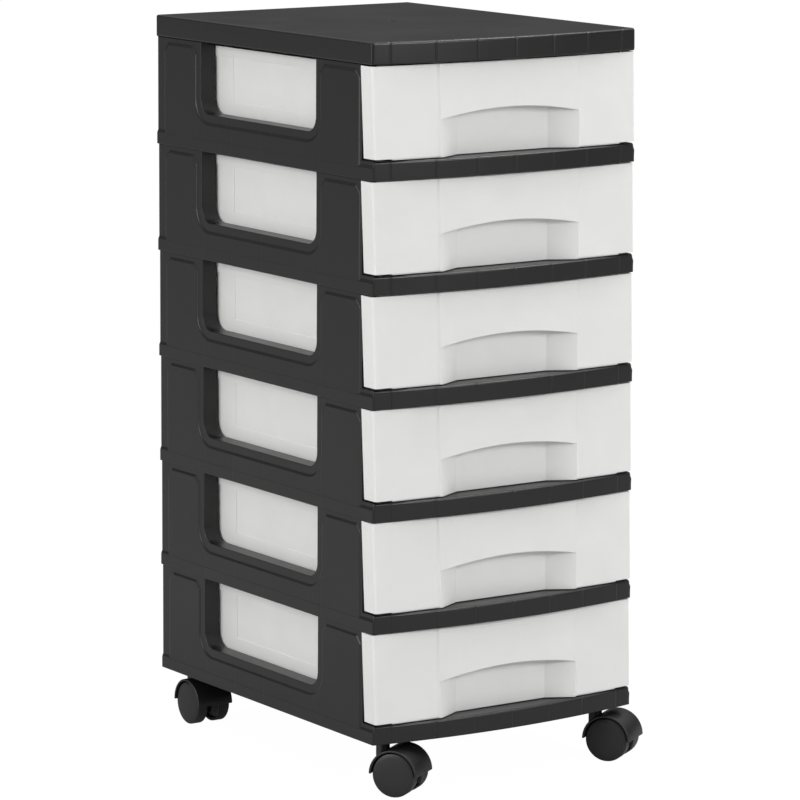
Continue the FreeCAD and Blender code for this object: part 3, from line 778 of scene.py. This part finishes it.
@dataclass
class Studio:
    """The pale floor, the lights and the camera of the photograph."""

    corner: Vector
    azimuth_degrees: float = -33.48
    elevation_degrees: float = 9.62
    distance: float = 3.752
    focal_mm: float = 193.4
    sensor_mm: float = 36.0
    aim_across: float = 28.9 * MM
    aim_up: float = 306.6 * MM
    camera_reach: float = 100.0
    floor_colour: str = "#b4b4b4"
    floor_roughness: float = 0.9
    floor_specular: float = 0.2
    floor_radius: float = 30.0
    rim_height: float = 1.4
    glow_strength: float = 1.05
    floor_glow: float = 0.94
    mirrored_glow: float = 0.12
    low_sky: float = 0.1
    high_sky: float = 0.75
    low_ambient: float = 0.03
    high_ambient: float = 0.85
    key_place: tuple[float, float, float] = (0.7, -3.1, 1.2)
    key_size: float = 0.9
    key_watts: float = 44.0
    fill_place: tuple[float, float, float] = (-3.2, 0.1, 0.9)
    fill_size: float = 1.6
    fill_watts: float = 52.0
    overhead_place: tuple[float, float, float] = (1.0, -0.35, 1.9)
    overhead_size: float = 0.6
    overhead_watts: float = 15.0

    def camera(self) -> None:
        """Stands the camera where the photograph was taken from."""
        azimuth, elevation = math.radians(self.azimuth_degrees), math.radians(self.elevation_degrees)
        back = Vector(
            (
                math.sin(azimuth) * math.cos(elevation),
                -math.cos(azimuth) * math.cos(elevation),
                math.sin(elevation),
            )
        )
        aim = self.corner + Vector((self.aim_across, 0, self.aim_up))
        data = bpy.data.cameras.new("camera")
        data.lens = self.focal_mm
        data.sensor_width = self.sensor_mm
        data.clip_end = self.camera_reach
        camera = bpy.data.objects.new("camera", data)
        camera.location = aim + back * self.distance
        camera.rotation_euler = back.to_track_quat("Z", "Y").to_euler()
        bpy.context.scene.collection.objects.link(camera)
        bpy.context.scene.camera = camera

    def floor(self) -> None:
        """Lays a wide pale floor with a raised rim, white where it is seen or mirrored."""
        bpy.ops.object.select_all(action="DESELECT")
        bpy.ops.mesh.primitive_circle_add(vertices=ROUND_SIDES, radius=self.floor_radius, fill_type="NGON")
        floor = bpy.context.active_object
        floor.name = "studio_floor"
        bpy.ops.object.mode_set(mode="EDIT")
        bpy.ops.mesh.select_all(action="DESELECT")
        bpy.ops.mesh.select_mode(type="EDGE")
        bpy.ops.mesh.select_all(action="SELECT")
        bpy.ops.mesh.extrude_edges_move(TRANSFORM_OT_translate={"value": (0, 0, self.rim_height)})
        bpy.ops.object.mode_set(mode="OBJECT")
        material = bpy.data.materials.new("pale_floor")
        material.use_nodes = True
        tree = material.node_tree
        shader = tree.nodes["Principled BSDF"]
        shader.inputs["Base Color"].default_value = linear(self.floor_colour)
        shader.inputs["Roughness"].default_value = self.floor_roughness
        shader.inputs["Specular IOR Level"].default_value = self.floor_specular
        path = add_node(tree, "ShaderNodeLightPath", {}, {})
        seen = path.outputs["Is Camera Ray"]
        for ray, part in (("Is Glossy Ray", self.mirrored_glow), ("Is Transmission Ray", 1.0)):
            lit = add_node(
                tree, "ShaderNodeMath", {"operation": "MULTIPLY", 1: part}, {0: path.outputs[ray]}
            )
            seen = add_node(
                tree, "ShaderNodeMath", {"operation": "MAXIMUM"}, {0: seen, 1: lit.outputs[0]}
            ).outputs[0]
        share = add_node(tree, "ShaderNodeMath", {"operation": "MULTIPLY", 1: self.floor_glow}, {0: seen})
        glow = add_node(
            tree, "ShaderNodeEmission", {"Color": (1, 1, 1, 1), "Strength": self.glow_strength}, {}
        )
        mix = add_node(
            tree, "ShaderNodeMixShader", {}, {0: share.outputs[0], 1: shader.outputs[0], 2: glow.outputs[0]}
        )
        tree.links.new(mix.outputs[0], tree.nodes["Material Output"].inputs["Surface"])
        dress(floor, material)

    def world(self) -> None:
        """Lights the tower from all round: dim at the level of the eye, bright overhead."""
        world = bpy.data.worlds.new("studio")
        bpy.context.scene.world = world
        world.use_nodes = True
        tree = world.node_tree
        background = tree.nodes["Background"]
        background.inputs["Color"].default_value = (1, 1, 1, 1)
        way = add_node(tree, "ShaderNodeTexCoord", {}, {}).outputs["Generated"]
        rise = add_node(tree, "ShaderNodeSeparateXYZ", {}, {0: way}).outputs["Z"]
        level = add_node(
            tree, "ShaderNodeMapRange",
            {
                "interpolation_type": "SMOOTHSTEP",
                "From Min": self.low_sky,
                "From Max": self.high_sky,
                "To Min": self.low_ambient,
                "To Max": self.high_ambient,
            },
            {0: rise},
        )
        tree.links.new(level.outputs[0], background.inputs["Strength"])

    def lamp(self, name: str, place: tuple, size: float, power: float, aim: Vector) -> None:
        """Hangs one soft square lamp.

        Args:
            name: Its name.
            place: Where it hangs, from the aim.
            size: The length of its side.
            power: Its power in watts.
            aim: The point it faces.
        """
        data = bpy.data.lights.new(name, "AREA")
        data.size = size
        data.energy = power
        lamp = bpy.data.objects.new(name, data)
        lamp.location = aim + Vector(place)
        lamp.rotation_euler = Vector(place).to_track_quat("Z", "Y").to_euler()
        bpy.context.scene.collection.objects.link(lamp)

    def build(self, middle: Vector) -> None:
        """Sets up floor, world, lamps and camera.

        Args:
            middle: The middle of the tower.
        """
        self.floor()
        self.world()
        self.lamp("key", self.key_place, self.key_size, self.key_watts, middle)
        self.lamp("fill", self.fill_place, self.fill_size, self.fill_watts, middle)
        self.lamp("overhead", self.overhead_place, self.overhead_size, self.overhead_watts, middle)
        self.camera()


def main() -> None:
    """Loads the frame, dresses the tower and sets up the studio."""
    logging.basicConfig(level=logging.INFO)
    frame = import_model()
    low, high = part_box("tier_frame_1")
    corner = Vector((low.x, high.y - TIER_DEPTH, low.z))
    centre = Vector(((low.x + high.x) / 2, (corner.y + high.y) / 2, 0))
    black = BlackPolypropylene().material(centre, corner)
    clear = NaturalPolypropylene().material()
    nylon = BlackNylon().material()
    steel = ZincPlatedSteel().material()
    Tower(frame).build(black, clear)
    Casters(frame).build(nylon, steel)
    Studio(corner).build(centre + Vector((0, 0, LIGHTS_LEVEL)))
    bpy.context.scene.view_settings.view_transform = "Standard"


if __name__ == "__main__":
    main()
